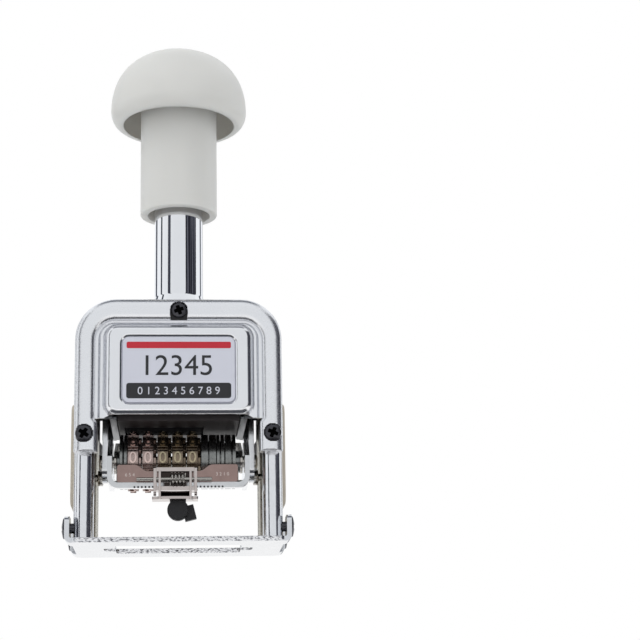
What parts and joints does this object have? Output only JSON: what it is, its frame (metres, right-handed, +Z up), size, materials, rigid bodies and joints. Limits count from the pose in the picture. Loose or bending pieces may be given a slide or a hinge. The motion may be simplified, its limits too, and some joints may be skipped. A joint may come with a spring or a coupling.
{
  "type": "numbering machine",
  "caption": "Hand-pressed self-inking numbering machine: a plunger handle turns a case of figure wheels down from an ink pad to the paper.",
  "frame": {"origin": "centre of the footprint, on the surface that the base stands on", "axes": "+X to the user's right, +Y away from the user (the front faces -Y), +Z up along the handle"},
  "size_m": [0.0688, 0.046, 0.1615],
  "materials": {
    "satin_chrome": "satin chrome plate on a zinc casting and pressed steel",
    "bright_chrome": "mirror chrome plate on steel",
    "nickel_sheet": "bright nickel plate on sheet steel",
    "warm_zinc": "zinc plate on sheet steel, warmed by a thin passivation",
    "beige_enamel": "matt beige-grey enamel on a pressed cover",
    "dark_steel": "turned steel, darkened",
    "black_screw": "black oxide steel",
    "plate_silver": "fine satin anodised aluminium",
    "grey_plastic": "warm grey moulded plastic, soft gloss",
    "brass_bush": "turned brass",
    "bright_steel": "turned and drawn steel",
    "red_fibre": "vulcanised fibre",
    "wheel_bronze": "dark engraved bronze with ink in its hollows",
    "brown_nickel": "tinted nickel plate on sheet steel",
    "black_knob": "black lacquered steel",
    "black_tray": "black glossy moulded tray",
    "pad_felt": "inked felt"
  },
  "bodies": {
    "frame": {"base_plate": "nickel_sheet", "post_front_left": "bright_chrome", "post_front_right": "bright_chrome", "post_rear_left": "bright_chrome", "post_rear_right": "bright_chrome", "front_frame": "satin_chrome", "rear_frame": "satin_chrome", "crown": "nickel_sheet", "front_cover": "satin_chrome", "rear_cover": "satin_chrome", "name_plate": "plate_silver", "neck_tube": "bright_chrome", "rod_bush": "brass_bush", "cam_plate_left": "warm_zinc", "cam_plate_right": "warm_zinc", "side_cover_left": "beige_enamel", "side_cover_right": "beige_enamel", "base_screws": "black_screw", "leg_screws": "black_screw", "top_screws": "black_screw", "pad_carrier": "nickel_sheet", "main_spring": "bright_steel"},
    "plunger": {"yoke": "nickel_sheet", "yoke_nut": "bright_steel", "buffer_washer": "red_fibre", "plunger_rod": "bright_steel", "spring_collar": "bright_steel", "handle_sleeve": "grey_plastic", "knob": "grey_plastic", "knob_insert": "brass_bush"},
    "case": {"case_frame": "nickel_sheet", "wheel_shaft": "bright_steel", "pivot_screws": "bright_steel", "cam_followers": "bright_steel", "blank_wheels": "dark_steel", "left_collar": "dark_steel", "scale_plate": "brown_nickel", "detent_rod": "bright_steel", "detent_pawls": "bright_steel", "comb_spring": "bright_steel"},
    "feed": {"feed_frame": "bright_steel", "feed_pawl": "bright_steel"},
    "ten_thousands": {"ten_thousands_wheel": "wheel_bronze"},
    "thousands": {"thousands_wheel": "wheel_bronze"},
    "hundreds": {"hundreds_wheel": "wheel_bronze"},
    "tens": {"tens_wheel": "wheel_bronze"},
    "units": {"units_wheel": "wheel_bronze"},
    "selector": {"selector_slide": "brown_nickel", "selector_pin": "bright_steel", "selector_spring": "bright_steel"},
    "lever": {"selector_lever": "brown_nickel", "selector_knob": "black_knob"},
    "tray": {"pad_tray": "black_tray", "ink_pad": "pad_felt"}
  },
  "joints": [
    {"name": "handle_press", "type": "slide", "parent": "frame", "child": "plunger", "axis": [0, 0, -1], "range_m": [0, 0.0173], "stiffness_N_per_m": 400, "springref_m": -0.02, "deforming": ["main_spring"]},
    {"name": "case_flip", "type": "hinge", "parent": "plunger", "child": "case", "pos_m": [0, 0, 0.0269], "axis": [-1, 0, 0], "range_deg": [0, 162]},
    {"name": "feed_swing", "type": "hinge", "parent": "case", "child": "feed", "pos_m": [0, 0, 0.0269], "axis": [-1, 0, 0], "range_deg": [0, 36]},
    {"name": "ten_thousands_turn", "type": "hinge", "parent": "case", "child": "ten_thousands", "pos_m": [0, 0, 0.0269], "axis": [1, 0, 0], "continuous": true},
    {"name": "thousands_turn", "type": "hinge", "parent": "case", "child": "thousands", "pos_m": [0, 0, 0.0269], "axis": [1, 0, 0], "continuous": true},
    {"name": "hundreds_turn", "type": "hinge", "parent": "case", "child": "hundreds", "pos_m": [0, 0, 0.0269], "axis": [1, 0, 0], "continuous": true},
    {"name": "tens_turn", "type": "hinge", "parent": "case", "child": "tens", "pos_m": [0, 0, 0.0269], "axis": [1, 0, 0], "continuous": true},
    {"name": "units_turn", "type": "hinge", "parent": "case", "child": "units", "pos_m": [0, 0, 0.0269], "axis": [1, 0, 0], "continuous": true},
    {"name": "selector_shift", "type": "slide", "parent": "case", "child": "selector", "axis": [1, 0, 0], "range_m": [-0.0045, 0.0035]},
    {"name": "selector_squeeze", "type": "hinge", "parent": "selector", "child": "lever", "pos_m": [0, -0.014, 0.0195], "axis": [1, 0, 0], "range_deg": [0, 10], "stiffness_Nm_per_rad": 0.02, "springref_deg": -17.19},
    {"name": "tray_pull", "type": "slide", "parent": "frame", "child": "tray", "axis": [0, 1, 0], "range_m": [0, 0.03]}
  ],
  "couplings": [
    {"joint": "case_flip", "follows": "handle_press", "rad_per_m": 163.43},
    {"joint": "feed_swing", "follows": "handle_press", "rad_per_m": 36.31}
  ]
}
